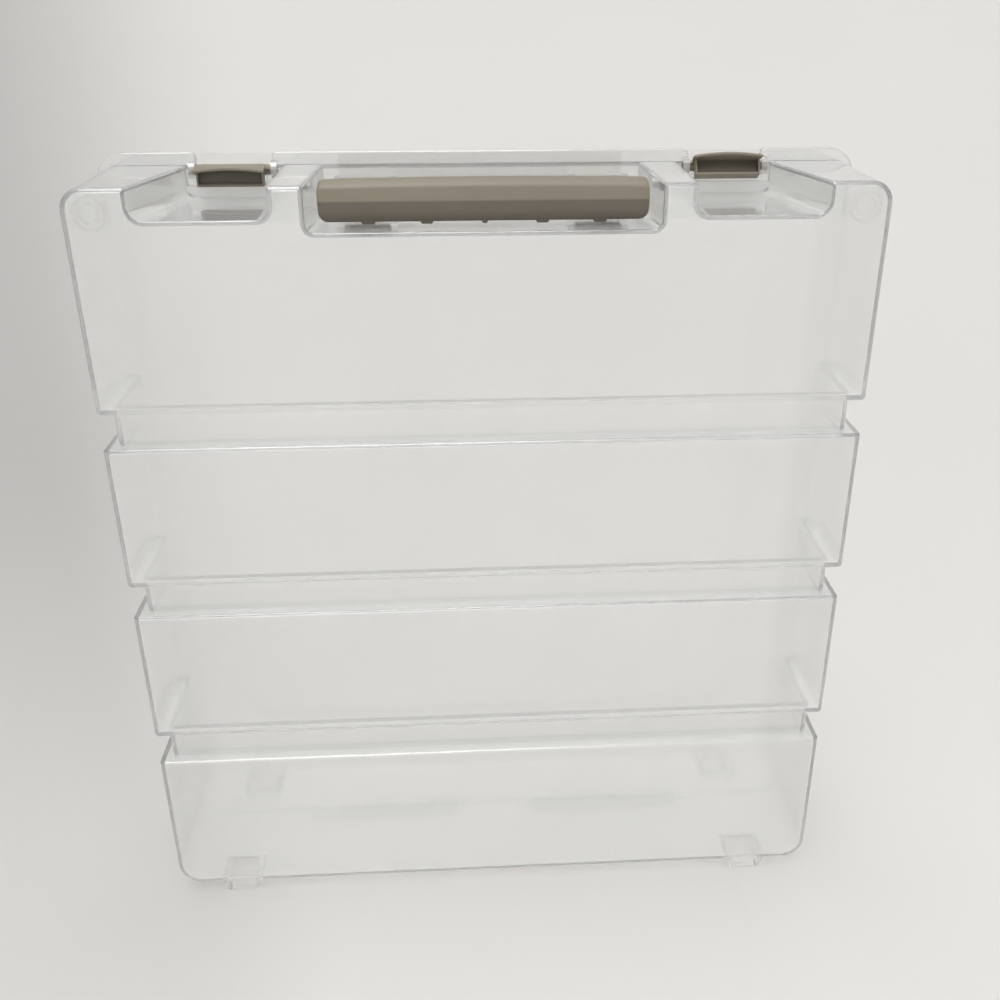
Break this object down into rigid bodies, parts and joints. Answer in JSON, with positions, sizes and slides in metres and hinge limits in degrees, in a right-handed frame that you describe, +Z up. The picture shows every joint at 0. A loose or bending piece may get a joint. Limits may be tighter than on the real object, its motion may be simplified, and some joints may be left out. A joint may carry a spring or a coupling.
{
  "type": "keeper case",
  "caption": "Clear moulded clamshell case with a grooved front, a swing handle in a recess and two flip latches, standing on its hinge side.",
  "frame": {"origin": "on the ground under the middle of the closed, standing case", "axes": "+Z up from the hinge side to the handle side, -Y out of the grooved front, +X to the right as seen from the front"},
  "size_m": [0.33, 0.09, 0.3672],
  "materials": {
    "clear_shell": "clear, slightly cloudy, glossy moulded",
    "taupe_plastic": "satin moulded",
    "pin_steel": "bright drawn wire"
  },
  "bodies": {
    "case_back": {"back_shell": "clear_shell", "handle_pin_left": "pin_steel", "handle_pin_right": "pin_steel", "hinge_pin_left": "pin_steel", "hinge_pin_right": "pin_steel"},
    "lid": {"front_shell": "clear_shell"},
    "handle": {"handle": "taupe_plastic"},
    "latch_left": {"latch_left": "taupe_plastic"},
    "latch_right": {"latch_right": "taupe_plastic"}
  },
  "joints": [
    {"name": "lid_hinge", "type": "hinge", "parent": "case_back", "child": "lid", "pos_m": [0, 0.008, 0.0031], "axis": [1, 0, 0], "range_deg": [0, 165]},
    {"name": "handle_swing", "type": "hinge", "parent": "case_back", "child": "handle", "pos_m": [0, 0.003, 0.3536], "axis": [-1, 0, 0], "range_deg": [0, 90]},
    {"name": "latch_left_swing", "type": "hinge", "parent": "case_back", "child": "latch_left", "pos_m": [-0.1063, 0.0062, 0.3602], "axis": [-1, 0, 0], "range_deg": [0, 110]},
    {"name": "latch_right_swing", "type": "hinge", "parent": "case_back", "child": "latch_right", "pos_m": [0.1063, 0.0062, 0.3602], "axis": [-1, 0, 0], "range_deg": [-31, 79]}
  ]
}
